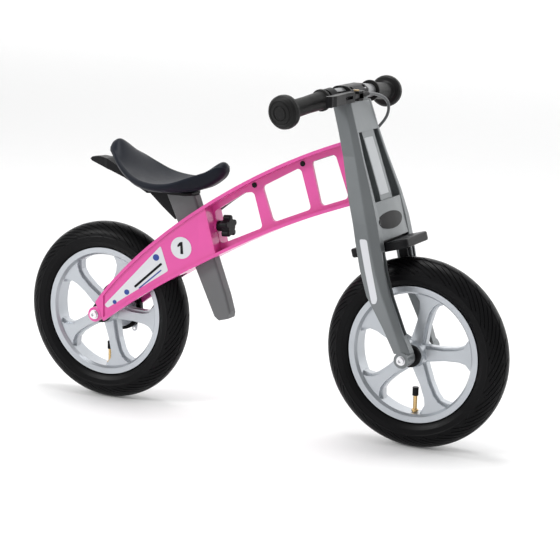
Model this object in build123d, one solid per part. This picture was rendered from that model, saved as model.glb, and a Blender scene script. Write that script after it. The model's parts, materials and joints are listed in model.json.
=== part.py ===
"""Balance bike with 12.5 inch wheels: a moulded frame on two cast wheels, a twin-wall fork,
a sliding seat post and a lever-operated rear drum brake.

Units are millimetres.  +X is forward, +Y is the rider's left, +Z is up.  The origin is on the
ground, midway between the two axles, on the centre plane.
"""
from build123d import *
import math
import os

# ---------------------------------------------------------------- driving dimensions
WHEELBASE = 570.0
TYRE_R = 152.5
TYRE_HALF = 27.0
TYRE_BAND_R = 127.5            # radius of the middle of the tyre's section
TYRE_BAND_H = 25.0             # half the height of the tyre's section
RIM_R = 115.0                  # edge of the rim flange
RIM_HALF = 19.8
SPOKES = 5
AXLE_R = 4.0
REAR_X = -WHEELBASE / 2
FRONT_X = WHEELBASE / 2
AXLE_Z = TYRE_R

STEER_TILT = 15.64             # degrees that the steering axis leans back
STEER_FOOT = (212.2, 0.0, 340.0)   # where the steering axis crosses the crown
HEAD_R = 14.5                  # outside of the frame's head tube
PIN_R = 6.0
HEAD_LOW = 18.0                # head tube's ends, along the steering axis from the foot
HEAD_HIGH = 156.0

BAR_R = 11.0
BAR_CENTRE = (155.0, 552.0)    # x and z of the straight middle of the handlebar
BAR_END = (136.0, 187.0, 538.0)
GRIP_INNER_Y = 85.0
GRIP_R = 14.2
KNOB_R = 26.0

POST_HALF = 11.0               # half the thickness of the seat post
SLIDE_GAP = 0.35               # clearance of the post in its socket

FRAME_FLANGE = 5.0             # width of the raised border round the frame's side panels
FRAME_RECESS = 2.5             # depth of the side panels
RUN_GAP = 0.08                 # radial running clearance of turning fits


# ---------------------------------------------------------------- small helpers
def save(name, shape):
    """Write one node as a STEP file."""
    os.makedirs("parts", exist_ok=True)
    export_step(shape, f"parts/{name}.step")


def outline(points):
    """A flat face from a closed list of points."""
    return make_face(Polyline(*points, close=True))


def side_prism(face, y_low, y_high):
    """Extrude a face drawn in (x, z) between two y values."""
    return extrude(Plane.XZ.offset(-y_high) * face, amount=y_high - y_low)


def plan_prism(face, z_low, z_high):
    """Extrude a face drawn in (x, y) between two heights."""
    return extrude(Plane.XY.offset(z_low) * face, amount=z_high - z_low)


def disc(x, z, y_low, y_high, radius, bore=0.0):
    """A round piece whose axis runs along Y."""
    face = Pos(x, z) * Circle(radius)
    if bore:
        face -= Pos(x, z) * Circle(bore)
    return side_prism(face, y_low, y_high)


def hex_piece(x, z, y_low, y_high, across_flats):
    """A hexagon whose axis runs along Y."""
    face = Pos(x, z) * RegularPolygon(across_flats / math.sqrt(3), 6)
    return side_prism(face, y_low, y_high)


def rod(start, end, radius, bore=0.0):
    """A straight round piece between two points."""
    a = Vector(*start)
    b = Vector(*end)
    face = Circle(radius)
    if bore:
        face -= Circle(bore)
    return extrude(Plane(origin=a, z_dir=b - a) * face, amount=(b - a).length)


def both_sides(shape):
    """A piece and its mirror image across the centre plane."""
    return shape + mirror(shape, about=Plane.XZ)


def group(shapes):
    """Several separate solids that share one node."""
    return Compound(children=list(shapes))


def steer_point(height, forward=0.0, side=0.0):
    """A point measured along the steering axis from its foot, and square to it."""
    lean = math.radians(STEER_TILT)
    x = STEER_FOOT[0] - math.sin(lean) * height + math.cos(lean) * forward
    z = STEER_FOOT[2] + math.cos(lean) * height + math.sin(lean) * forward
    return (x, side, z)


def steer_rod(low, high, radius, bore=0.0):
    """A round piece on the steering axis."""
    return rod(steer_point(low), steer_point(high), radius, bore)


# ---------------------------------------------------------------- wheels
def wheel_spin(face):
    """Turn a face drawn in (radius, y) about the axle at the world origin's Y axis."""
    return revolve(Plane.XY * face, axis=Axis.Y)


def place_wheel(shape, x):
    """Move a wheel piece from the Y axis to its axle."""
    return Pos(x, 0, AXLE_Z) * shape


def rim_ring():
    """The rim: two flanges, a well for the tyre and a flat inner band."""
    points = [(97.0, -14.0), (100.5, -18.8), (108.0, -RIM_HALF), (RIM_R, -RIM_HALF)]
    points += [(RIM_R + 0.6, -18.6), (RIM_R, -17.6), (109.0, -17.0), (106.5, -12.0), (104.0, -8.0)]
    right = points
    left = [(radius, -y) for radius, y in reversed(points)]
    ring = wheel_spin(outline(right + left))
    return ring


def spoke_outline(foot, waist, extra):
    """Half widths of a spoke at its foot and its waist, flared where it meets the rim."""
    half = [(18.0, foot), (50.0, waist), (72.0, waist + 1.2), (83.0, waist + 4.5),
            (91.0, waist + 10.5 + extra), (96.5, waist + 19.0 + extra), (101.0, waist + 19.5 + extra)]
    return outline([(radius, -w) for radius, w in half] + [(radius, w) for radius, w in reversed(half)])


def spoke(angle):
    """One cast spoke: a flared web with a raised spine on each side."""
    web = spoke_outline(13.0, 10.5, 4.0)
    spine = spoke_outline(9.0, 6.5, 0.0)
    body = side_prism(web, -6.5, 6.5) + side_prism(spine, -13.0, 13.0)
    return Rot(0, -angle, 0) * body


def wheel_rim(first_spoke):
    """The cast wheel in one piece: rim, five spokes and hub shell."""
    body = rim_ring()
    for index in range(SPOKES):
        body += spoke(first_spoke + index * 360.0 / SPOKES)
    hub = wheel_spin(outline([(9.0, -24.0), (17.0, -24.0), (19.5, -20.0), (22.0, -9.0), (22.0, 9.0),
                              (19.5, 20.0), (17.0, 24.0), (9.0, 24.0)]))
    body += hub
    seat = wheel_spin(outline([(0.0, -25.0), (11.0, -25.0), (11.0, -17.0), (0.0, -17.0)]))
    body -= seat
    body -= mirror(seat, about=Plane.XZ)
    body -= wheel_spin(outline([(0.0, -26.0), (9.2, -26.0), (9.2, 26.0), (0.0, 26.0)]))
    body -= rod((0, 0, -90.0), (0, 0, -112.0), 4.2)
    body -= rod((0, 0, -48.0), (0, 0, -96.5), 6.4)
    return body


def tyre():
    """A street tyre: a round casing with beads that sit on the rim."""
    band = Pos(TYRE_BAND_R, 0) * Ellipse(TYRE_BAND_H, TYRE_HALF)
    hollow = Pos(TYRE_BAND_R - 0.8, 0) * Ellipse(TYRE_BAND_H - 4.6, TYRE_HALF - 3.6)
    mouth = Pos(105.0, 0) * Rectangle(20.2, 30.0)
    rim_room = Pos(108.0, 0) * Rectangle(14.6, 2 * 19.95)
    casing = band - hollow - mouth
    casing = casing - rim_room
    bead = outline([(109.4, -16.4), (116.0, -16.8), (116.0, -20.5), (119.0, -22.0), (119.0, -15.0),
                    (109.4, -12.6)])
    beads = bead + mirror(bead, about=Plane.XZ)
    return wheel_spin(casing + beads)


def inner_tube():
    """The inflated tube inside the tyre."""
    outer = Pos(TYRE_BAND_R - 0.8, 0) * Ellipse(TYRE_BAND_H - 5.0, TYRE_HALF - 15.0)
    inner = Pos(TYRE_BAND_R - 0.8, 0) * Ellipse(TYRE_BAND_H - 6.5, TYRE_HALF - 16.5)
    return wheel_spin(outer - inner)


def valve_stem():
    """The threaded brass valve that points at the axle."""
    stem = rod((0, 0, -63.0), (0, 0, -106.4), 3.3)
    stem += rod((0, 0, -92.5), (0, 0, -95.5), 5.6)
    return stem


def valve_cap():
    """The ribbed plastic cap over the valve's tip."""
    cap = rod((0, 0, -56.5), (0, 0, -70.0), 4.9)
    cap -= rod((0, 0, -63.0), (0, 0, -71.0), 3.3)
    return cap


def ball_bearings():
    """Two sealed bearings pressed into the hub."""
    near = wheel_spin(outline([(AXLE_R + RUN_GAP, -24.8), (11.0, -24.8), (11.0, -17.0),
                               (AXLE_R + RUN_GAP, -17.0)]))
    return group([near, mirror(near, about=Plane.XZ)])


def bearing_spacer():
    """The sleeve that keeps the two bearings apart."""
    return wheel_spin(outline([(4.6, -17.0), (6.6, -17.0), (6.6, 17.0), (4.6, 17.0)]))


def hub_cap(y_inner, y_outer, radius):
    """A domed dust cap clipped over one end of the hub."""
    rim = radius - 1.5
    cap = wheel_spin(outline([(5.2, y_inner + 0.9), (10.0, y_inner), (radius, y_inner),
                              (radius, y_outer - 2.0), (rim, y_outer), (5.2, y_outer)]))
    return cap


def make_wheels():
    """Both wheels, each from the same mouldings."""
    for name, x, first in (("front", FRONT_X, 5.0), ("rear", REAR_X, -4.0)):
        save(f"{name}_wheel_rim", place_wheel(wheel_rim(first), x))
        save(f"{name}_tyre", place_wheel(tyre(), x))
        save(f"{name}_inner_tube", place_wheel(inner_tube(), x))
        save(f"{name}_valve_stem", place_wheel(valve_stem(), x))
        save(f"{name}_valve_cap", place_wheel(valve_cap(), x))
        save(f"{name}_wheel_bearings", place_wheel(ball_bearings(), x))
        save(f"{name}_bearing_spacer", place_wheel(bearing_spacer(), x))
    cap = hub_cap(24.8, 31.0, 18.0)
    save("front_hub_caps", place_wheel(group([cap, mirror(cap, about=Plane.XZ)]), FRONT_X))
    save("rear_hub_cap", place_wheel(mirror(cap, about=Plane.XZ), REAR_X))



# ---------------------------------------------------------------- frame
FRAME_TOP = [(-284, 174), (-210, 258), (-95.5, 350.3), (28.3, 423.6), (150, 476), (186, 488)]
FRAME_BOTTOM = [(-268, 143), (-174.5, 208.3), (-58.6, 276.0), (39.5, 325.8), (172.5, 378.4), (212, 392)]
FRAME_HALF_WIDTH = [(-310, 50.0), (-262, 49.0), (-220, 43.0), (-160, 34.0), (-100, 27.0), (-50, 23.5),
                    (20, 20.0), (240, 20.0)]
WHEEL_SLOT = [(-310, 39.5), (-262, 39.0), (-226, 33.0), (-180, 30.2), (-158, 27.0), (-143, 15.0)]
WINDOWS = [
    [(-81.0, 342.3), (-25.7, 377.9), (-9.1, 381.1), (8.0, 323.9), (-70.0, 288.2)],
    [(6.2, 391.3), (74.3, 428.6), (94.9, 362.6), (26.9, 334.5)],
    [(93.4, 439.0), (135.0, 454.8), (160.5, 386.5), (112.5, 368.7)],
]
WEB_HALF = 2.5                 # half the thickness of the thin web that the windows are cut in
SOCKET_FRONT = [(-98.0, 390.0), (-63.0, 263.0)]    # the line where the thick socket meets the web
WINDOW_CORNER_R = 7.0
CLIP_HOLES = [(-7.9, 392.2), (78.2, 434.5)]
CLIP_HOLE_R = 3.0
BOSS_R = 12.5
PANEL_TAIL_X = -268.0
HEAD_BLOCK = 24.0              # solid stretch of beam behind the steering axis
KNOB_FOOT = (-77.5, 0.0, 318.0)    # where the clamp screw leaves the socket's front wall
KNOB_TILT = 4.0


def half_width(x):
    """Half the frame's width at a place along the bike."""
    for (x_a, w_a), (x_b, w_b) in zip(FRAME_HALF_WIDTH, FRAME_HALF_WIDTH[1:]):
        if x <= x_b:
            return w_a + (w_b - w_a) * (x - x_a) / (x_b - x_a)
    return FRAME_HALF_WIDTH[-1][1]


def moved_square(points, depth):
    """The points of an open curve, each moved to the right of its run by some depth."""
    moved = []
    for i, (x, z) in enumerate(points):
        x_a, z_a = points[max(i - 1, 0)]
        x_b, z_b = points[min(i + 1, len(points) - 1)]
        length = math.hypot(x_b - x_a, z_b - z_a)
        moved.append((x + (z_b - z_a) * depth / length, z - (x_b - x_a) * depth / length))
    return moved


def frame_side(inset=0.0):
    """The frame's side view, from the rear axle to the head."""
    top = Spline(*moved_square(FRAME_TOP, inset))
    bottom = Spline(*moved_square(FRAME_BOTTOM, -inset))
    tail = Line(top @ 0, bottom @ 0)
    head = Line(top @ 1, bottom @ 1)
    return make_face([top, head, bottom, tail])


def frame_plan(inset):
    """The frame's plan view, set in from each side by some depth."""
    right = [(x, -(y - inset)) for x, y in FRAME_HALF_WIDTH]
    left = [(x, y - inset) for x, y in reversed(FRAME_HALF_WIDTH)]
    return outline(right + left)


def wheel_slot():
    """The gap between the rear arms that the tyre runs in."""
    right = [(x, -y) for x, y in WHEEL_SLOT]
    left = [(x, y) for x, y in reversed(WHEEL_SLOT)]
    slot = make_face([Polyline(*right), ThreePointArc(right[-1], (-137.0, 0.0), left[0]),
                      Polyline(*left), Line(left[-1], right[0])])
    return plan_prism(slot, 60.0, 520.0)


def window_face(corners, grow):
    """One of the openings along the frame, grown by a border."""
    face = outline(corners)
    face = fillet(face.vertices(), WINDOW_CORNER_R)
    return offset(face, grow) if grow else face


def post_side(grow):
    """The seat post's side view: a blade that narrows towards its foot."""
    face = outline([(-169.7, 365.4), (-84.3, 184.0), (-77.5, 169.4), (-66.0, 161.5), (-48.5, 166.5),
                    (-46.0, 178.0), (-53.5, 204.0), (-114.9, 365.4)])
    return offset(face, grow) if grow else face


def clamp_point(along):
    """A point on the clamp screw's axis, forward of the socket's front wall."""
    lean = math.radians(KNOB_TILT)
    return (KNOB_FOOT[0] + along * math.cos(lean), 0.0, KNOB_FOOT[2] + along * math.sin(lean))


def clamp_rod(low, high, radius, bore=0.0):
    """A round piece on the clamp screw's axis."""
    return rod(clamp_point(low), clamp_point(high), radius, bore)


def side_panels():
    """The shallow panel on both sides of the rear arms and the seat socket."""
    panel = frame_side(FRAME_FLANGE)
    panel -= outline([(-320, 120), (PANEL_TAIL_X, 120), (PANEL_TAIL_X, 230), (-320, 230)])
    panel -= outline([(-98.5, 390.0), (-63.5, 263.0), (-63.5, 200.0), (300, 200), (300, 600), (-98.5, 600)])
    skin = side_prism(panel, -60.0, 60.0)
    return skin - plan_prism(frame_plan(FRAME_RECESS), 60.0, 560.0)


def web_pockets():
    """The deep pockets on both sides of the web, between the top and bottom flanges."""
    pocket = frame_side(FRAME_FLANGE)
    pocket -= outline([*SOCKET_FRONT, (-63.0, 200.0), (-320.0, 100.0), (-320.0, 600.0), (-98.0, 600.0)])
    ahead = [steer_point(-120.0), steer_point(240.0)]
    pocket -= outline([(ahead[0][0] - HEAD_BLOCK, ahead[0][2]), (ahead[1][0] - HEAD_BLOCK, ahead[1][2]),
                       (500.0, 600.0), (500.0, 200.0)])
    return both_sides(side_prism(pocket, WEB_HALF, 60.0))


def frame_moulding():
    """The moulded frame: beam, twin rear arms, seat socket and head tube."""
    side = frame_side()
    reach = 60.0
    beam = side_prism(side, -reach, reach) & plan_prism(frame_plan(0.0), 60.0, 560.0)
    beam -= side_panels()
    beam -= web_pockets()
    for corners in WINDOWS:
        beam -= side_prism(window_face(corners, 0.0), -WEB_HALF - 1.0, WEB_HALF + 1.0)
    beam -= steer_block(-8.0, 120.0, reach, -90.0, 300.0)
    beam += steer_rod(HEAD_LOW, HEAD_HIGH, HEAD_R)
    beam += clamp_rod(-6.0, 2.9, 10.5)
    beam -= wheel_slot()
    beam += both_sides(disc(REAR_X, AXLE_Z, 38.5, 50.0, BOSS_R))
    beam -= side_prism(post_side(SLIDE_GAP), -POST_HALF - SLIDE_GAP, POST_HALF + SLIDE_GAP)
    beam -= steer_rod(HEAD_LOW - 5, HEAD_HIGH + 5, PIN_R + RUN_GAP)
    beam -= steer_rod(HEAD_LOW - 5, HEAD_LOW + 12, 10.0)
    beam -= steer_rod(HEAD_HIGH - 12, HEAD_HIGH + 5, 10.0)
    beam -= clamp_rod(-24.0, 4.0, 4.0 + RUN_GAP)
    beam -= clamp_rod(-6.4, 4.0, 7.6)
    for x, z in CLIP_HOLES:
        beam -= disc(x, z, -reach, reach, CLIP_HOLE_R)
    beam -= disc(REAR_X, AXLE_Z, -reach, reach, AXLE_R + RUN_GAP)
    beam -= disc(REAR_X, AXLE_Z, 20.0, 38.45, COVER_R + 0.5)
    beam -= disc(*CAM, 30.0, ARM_Y[1] + 0.5, 7.6)
    return beam


def steer_block(back, front, half, low, high):
    """A box square to the steering axis."""
    plane = Plane(origin=steer_point(low), x_dir=steer_direction(), z_dir=Vector(*steer_point(1.0))
                  - Vector(*steer_point(0.0)))
    face = Pos((back + front) / 2, 0) * Rectangle(front - back, 2 * half)
    return extrude(plane * face, amount=high - low)


def steer_direction():
    """The forward direction square to the steering axis."""
    lean = math.radians(STEER_TILT)
    return (math.cos(lean), 0.0, math.sin(lean))


def make_frame():
    """The frame and what is fixed in it."""
    save("frame", frame_moulding())
    low_bush = steer_rod(HEAD_LOW, HEAD_LOW + 12, 10.0, PIN_R + RUN_GAP)
    low_bush += steer_rod(HEAD_LOW - 1.5, HEAD_LOW, 13.5, PIN_R + RUN_GAP)
    high_bush = steer_rod(HEAD_HIGH - 12, HEAD_HIGH, 10.0, PIN_R + RUN_GAP)
    high_bush += steer_rod(HEAD_HIGH, HEAD_HIGH + 1.5, 13.5, PIN_R + RUN_GAP)
    save("steering_bushes", group([low_bush, high_bush]))
    nut = clamp_rod(-6.3, -0.3, 7.5, 4.0 + RUN_GAP)
    save("clamp_insert_nut", nut)
    bolt = disc(REAR_X, AXLE_Z, -52.0, 52.0, AXLE_R)
    bolt += disc(REAR_X, AXLE_Z, -54.8, -51.2, 6.5) - hex_piece(REAR_X, AXLE_Z, -56.0, -52.4, 6.0)
    save("rear_axle_bolt", bolt)
    save("rear_axle_washers", both_pieces(disc(REAR_X, AXLE_Z, 50.0, 51.2, 8.0, AXLE_R + RUN_GAP)))
    nut = hex_piece(REAR_X, AXLE_Z, 51.2, 56.0, 12.0) - disc(REAR_X, AXLE_Z, 50.0, 57.0, AXLE_R)
    save("rear_axle_nut", nut)
    right_sleeve = disc(REAR_X, AXLE_Z, -38.5, -25.0, 5.0, AXLE_R + RUN_GAP)
    left_sleeve = disc(REAR_X, AXLE_Z, 25.0, 34.8, 5.0, AXLE_R + RUN_GAP)
    save("rear_axle_sleeves", group([right_sleeve, left_sleeve]))


def both_pieces(shape):
    """Two separate mirror-image solids in one node."""
    return group([shape, mirror(shape, about=Plane.XZ)])


# ---------------------------------------------------------------- fork
# height, rear x, crease x, nose x, outer half width, nose half width, inner half width
FORK_ROWS = [
    (541.0, 146.0, 167.5, 175.5, 44.0, 38.0, 31.0),
    (500.0, 158.5, 180.5, 188.5, 47.0, 41.0, 34.0),
    (460.0, 170.0, 192.0, 202.0, 51.0, 47.0, 40.0),
    (400.0, 186.0, 211.0, 224.5, 63.0, 57.0, 47.0),
    (360.0, 199.0, 223.5, 237.0, 70.5, 62.0, 47.0),
    (330.0, 206.5, 231.5, 244.0, 74.5, 64.0, 48.0),
    (290.0, 215.5, 242.0, 252.0, 75.5, 64.0, 48.0),
    (250.0, 227.5, 255.5, 263.0, 74.5, 62.5, 46.5),
    (200.0, 255.0, 274.0, 281.0, 69.5, 58.0, 42.0),
    (162.0, 271.5, 285.0, 296.0, 63.0, 54.0, 37.0),
]
CROWN_LOW = -14.0
CROWN_HIGH = 46.0
DROPOUT_R = 12.5
CLAMP_SCREW_R = 2.0


def eased(points, cut):
    """Cut every corner of a closed outline by a small length."""
    result = []
    for index, point in enumerate(points):
        here = Vector(*point)
        for other in (points[index - 1], points[(index + 1) % len(points)]):
            step = Vector(*other) - here
            corner = here + step.normalized() * cut
            result.append((corner.X, corner.Y))
    return result


def loft_rows(rows, section):
    """A ruled solid through one closed outline per height."""
    faces = []
    for row in rows:
        faces.append(Plane.XY.offset(row[0]) * outline(section(*row[1:])))
    return loft(faces, ruled=True)


def wall_section(rear, crease, nose, outer, nose_half, inner):
    """One fork wall cut level: a flat outer side, creased in towards its nose, and a slanted back."""
    points = [(rear, -outer), (crease, -outer), (nose, -nose_half), (nose, -inner), (rear + 10.0, -inner)]
    return eased(points, 1.2)


def groove_section(rear, crease, nose, outer, nose_half, inner):
    """The slot down the front of a fork blade."""
    return [(nose - 8.0, -nose_half + 4.5), (nose + 8.0, -nose_half + 4.0), (nose + 8.0, -inner - 3.2),
            (nose - 8.0, -inner - 3.7)]


def channel_section(rear, crease, nose, outer, nose_half, inner):
    """The hollow down the back of a fork blade."""
    return [(rear - 6.0, -outer + 4.0), (rear + 9.0, -outer + 4.5), (rear + 9.0, -inner - 4.5),
            (rear - 6.0, -inner - 4.0)]


def web_section(rear, crease, nose, outer, nose_half, inner):
    """The recessed sheet between the two walls, beside the rib."""
    half = inner + 2.0
    return [(nose - 17.0, -half), (nose - 12.0, -half), (nose - 12.0, half), (nose - 17.0, half)]


def fork_rows(low, high):
    """The fork's level cuts between two heights, with the ends worked out between rows."""
    def at(height):
        for upper, lower in zip(FORK_ROWS, FORK_ROWS[1:]):
            if lower[0] <= height <= upper[0]:
                share = (height - lower[0]) / (upper[0] - lower[0])
                return tuple(b + (a - b) * share for a, b in zip(upper, lower))
        return FORK_ROWS[-1]
    inner_rows = [row for row in FORK_ROWS if low + 1.0 < row[0] < high - 1.0]
    return [at(high)] + inner_rows + [at(low)]


def fork_crown():
    """The bridge under the head tube, with a bowed front that closes the column."""
    corner = (27.0, 52.0)
    bow = make_face([ThreePointArc((corner[0], -corner[1]), (30.5, 0.0), corner),
                     Line(corner, (-9.0, 56.0)), Line((-9.0, 56.0), (-9.0, -56.0)),
                     Line((-9.0, -56.0), (corner[0], -corner[1]))])
    plane = Plane(origin=steer_point(CROWN_LOW), x_dir=steer_direction(),
                  z_dir=Vector(*steer_point(1.0)) - Vector(*steer_point(0.0)))
    crown = extrude(plane * bow, amount=CROWN_HIGH - CROWN_LOW)
    crown -= steer_block(-60.0, 8.0, 80.0, HEAD_LOW - 2.0, 100.0)
    return crown


def fork_moulding():
    """The moulded fork: two walls that become blades, column cover, crown and bar seat."""
    wall = loft_rows(FORK_ROWS, wall_section)
    wall -= loft_rows(fork_rows(190.0, 318.0), groove_section)
    wall -= loft_rows(fork_rows(196.0, 318.0), channel_section)
    wall += disc(FRONT_X, AXLE_Z, -63.0, -36.0, DROPOUT_R)
    body = both_sides(wall)
    crown = fork_crown()
    body += crown
    rib = outline([(234.0, 352.0), (222.0, 400.0), (201.0, 460.0), (188.5, 494.0), (174.5, 541.0),
                   (158.0, 541.0), (207.0, 372.0)])
    body += side_prism(rib, -21.5, 21.5)
    body += loft_rows(fork_rows(352.0, 512.0), web_section)
    bridge = outline([(147.0, 538.0), (160.0, 496.0), (189.6, 496.0), (175.0, 540.8), (147.0, 540.8)])
    body += side_prism(bridge, -35.0, 35.0)
    seat = outline([(137.0, 536.0), (173.5, 536.0), (173.5, 551.4), (137.0, 551.4)])
    body += side_prism(seat, -30.0, 30.0)
    body -= steer_rod(HEAD_LOW - 1.9, HEAD_HIGH + 1.9, HEAD_R + 2.2)
    body -= steer_block(-70.0, 8.0, 33.0, HEAD_LOW - 1.9, HEAD_HIGH + 1.9) \
        & steer_rod(HEAD_LOW - 1.9, HEAD_HIGH + 1.9, 33.0)
    body -= steer_rod(CROWN_LOW - 20, HEAD_HIGH + 60, PIN_R)
    body -= steer_rod(CROWN_LOW - 20, CROWN_LOW + 7.0, 10.5)
    body -= steer_rod(HEAD_HIGH + 18.0, HEAD_HIGH + 80.0, 10.0)
    body -= disc(*BAR_CENTRE, -60.0, 60.0, BAR_R + 0.02)
    for x, y in clamp_screw_places():
        body -= rod((x, y, 530.0), (x, y, 560.0), CLAMP_SCREW_R)
    body -= disc(FRONT_X, AXLE_Z, -80.0, 80.0, AXLE_R + RUN_GAP)
    return body


def clamp_screw_places():
    """Where the four bar clamp screws stand."""
    centre = BAR_CENTRE[0]
    return [(centre + side * 14.2, y) for side in (-1, 1) for y in (-22.0, 22.0)]


def bar_clamp():
    """The cap over the middle of the handlebar."""
    top = outline([(136.0, 552.6), (174.0, 552.6), (174.0, 557.8), (167.0, 564.0), (162.0, 565.5),
                   (148.0, 565.5), (143.0, 564.0), (136.0, 557.8)])
    cap = side_prism(top, -30.0, 30.0)
    cap -= disc(*BAR_CENTRE, -60.0, 60.0, BAR_R + 0.02)
    for x, y in clamp_screw_places():
        cap -= rod((x, y, 550.0), (x, y, 570.0), CLAMP_SCREW_R)
        cap -= rod((x, y, 556.5), (x, y, 570.0), 3.6)
    return cap


def clamp_screw(x, y):
    """One socket screw of the bar clamp."""
    screw = rod((x, y, 532.0), (x, y, 556.5), CLAMP_SCREW_R)
    screw += rod((x, y, 556.5), (x, y, 560.5), 3.5)
    screw -= extrude(Plane(origin=(x, y, 558.3)) * RegularPolygon(1.8, 6), amount=4.0)
    return screw


def fork_guard():
    """The black pad under the crown that keeps mud off and stops the fork against the frame."""
    plane = Plane(origin=steer_point(-32.0), x_dir=steer_direction(),
                  z_dir=Vector(*steer_point(1.0)) - Vector(*steer_point(0.0)))
    face = Pos(13.8, 0) * RectangleRounded(98.5, 90.0, 9.0)
    pad = extrude(plane * face, amount=14.5)
    pad = fillet(pad.faces().sort_by(Axis.Z)[-1].edges(), 3.0)
    pad += steer_block(-6.0, 22.0, 36.0, -22.0, CROWN_LOW - 0.05)
    leg = steer_block(8.0, 22.0, 45.0, -62.0, -26.0) - steer_block(7.0, 23.0, 40.0, -70.0, -20.0)
    return pad + leg - steer_rod(-40.0, CROWN_LOW + 5.0, 11.5)


# ---------------------------------------------------------------- handlebar
def bar_path():
    """The handlebar's centre line: level in the middle and swept back to the grips."""
    x, y, z = BAR_END
    middle = BAR_CENTRE
    reach = 0.97
    ends = [(middle[0] + (x - middle[0]) * reach, side * (50.0 + (y - 50.0) * reach),
             middle[1] + (z - middle[1]) * reach) for side in (-1, 1)]
    knees = [(middle[0], side * 50.0, middle[1]) for side in (-1, 1)]
    return FilletPolyline(ends[0], knees[0], knees[1], ends[1], radius=60.0)


def bar_solid(radius):
    """The handlebar's path filled to a radius."""
    path = bar_path()
    return sweep(Plane(origin=path @ 0, z_dir=path % 0) * Circle(radius), path=path)


def handlebar():
    """A bent tube."""
    return bar_solid(BAR_R) - bar_solid(BAR_R - 1.8)


def grip_point(y):
    """A point on the left grip's axis, given by its distance from the centre plane."""
    share = (y - 50.0) / (BAR_END[1] - 50.0)
    return (BAR_CENTRE[0] + (BAR_END[0] - BAR_CENTRE[0]) * share, y,
            BAR_CENTRE[1] + (BAR_END[2] - BAR_CENTRE[1]) * share)


def grip():
    """A rubber grip with a collar and a big round safety end."""
    start = Vector(*grip_point(GRIP_INNER_Y))
    end = Vector(*grip_point(197.0))
    length = (end - start).length
    knob = length - 22.0
    profile = [(BAR_R + 0.03, 0.0), (16.5, 0.0), (17.0, 2.0), (17.0, 5.5), (GRIP_R, 7.5)]
    profile += [(GRIP_R - 0.8, knob * 0.5), (GRIP_R, knob - 3.0), (17.0, knob - 0.5), (22.5, knob + 0.5)]
    profile += [(25.3, knob + 4.0), (KNOB_R, knob + 9.0), (25.3, knob + 14.5), (22.5, knob + 18.6)]
    profile += [(19.0, length - 1.8), (17.6, length - 2.6), (15.8, length - 1.2), (12.0, length - 0.6)]
    profile += [(10.8, length - 1.6), (9.0, length - 0.3), (0.0, length), (0.0, length - 12.0)]
    profile += [(BAR_R + 0.03, length - 12.0)]
    face = outline([(radius, 0.0, along) for radius, along in profile])
    shape = revolve(face, axis=Axis.Z)
    return Plane(origin=start, z_dir=end - start).location * shape


# ---------------------------------------------------------------- brake lever
PIVOT = (180.0, -28.0)
LEVER_Z = (548.4, 555.6)


def lever_perch():
    """The clamp and arm that carry the brake lever on the right-hand side."""
    ring = mirror(rod(grip_point(62.0), grip_point(78.0), 15.0), about=Plane.XZ)
    arm = outline([(158.0, -76.0), (163.0, -74.0), (166.0, -50.0), (172.0, -38.0), (188.0, -36.0),
                   (190.0, -24.0), (187.0, -13.0), (175.0, -12.0), (175.0, -31.0), (150.0, -63.0)])
    body = ring + plan_prism(arm, 544.6, 559.4)
    sweep_room = outline([(171.2, -90.0), (168.0, -40.0), (170.5, -22.0), (182.0, -17.5), (200.0, -24.0),
                          (200.0, -90.0)])
    body -= plan_prism(sweep_room, LEVER_Z[0] - 0.3, LEVER_Z[1] + 0.3)
    body -= bar_solid(BAR_R + 0.02)
    body -= rod((*PIVOT, 540.0), (*PIVOT, 565.0), 2.5)
    body -= rod((182.0, -30.0, 552.0), (184.0, 10.0, 552.0), 2.4)
    return body


def lever_blade():
    """The lever: an eye on the pivot and a slotted blade with a round tip."""
    blade = outline([(175.2, -27.0), (178.0, -45.0), (177.5, -80.0), (181.5, -130.0), (189.0, -132.0),
                     (191.0, -120.0), (187.5, -80.0), (187.5, -45.0), (185.5, -27.0)])
    eye = Pos(*PIVOT) * Circle(5.6)
    thin = plan_prism(make_face(blade.wires()[0]) + eye, *LEVER_Z)
    wide = outline([(177.9, -48.0), (177.5, -80.0), (181.5, -130.0), (189.0, -132.0), (191.0, -120.0),
                    (187.5, -80.0), (187.5, -48.0)])
    body = thin + plan_prism(wide, 544.0, 560.0)
    body += rod((185.5, -134.0, 543.6), (185.5, -134.0, 560.4), 5.4)
    window = Plane(origin=(160, -68.0, 552.0), x_dir=(0, 1, 0), z_dir=(1, 0, 0)) \
        * SlotOverall(26.0, 5.0)
    body -= extrude(window, amount=50.0)
    body -= rod((*PIVOT, 540.0), (*PIVOT, 565.0), 2.5 + RUN_GAP)
    return body


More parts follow.
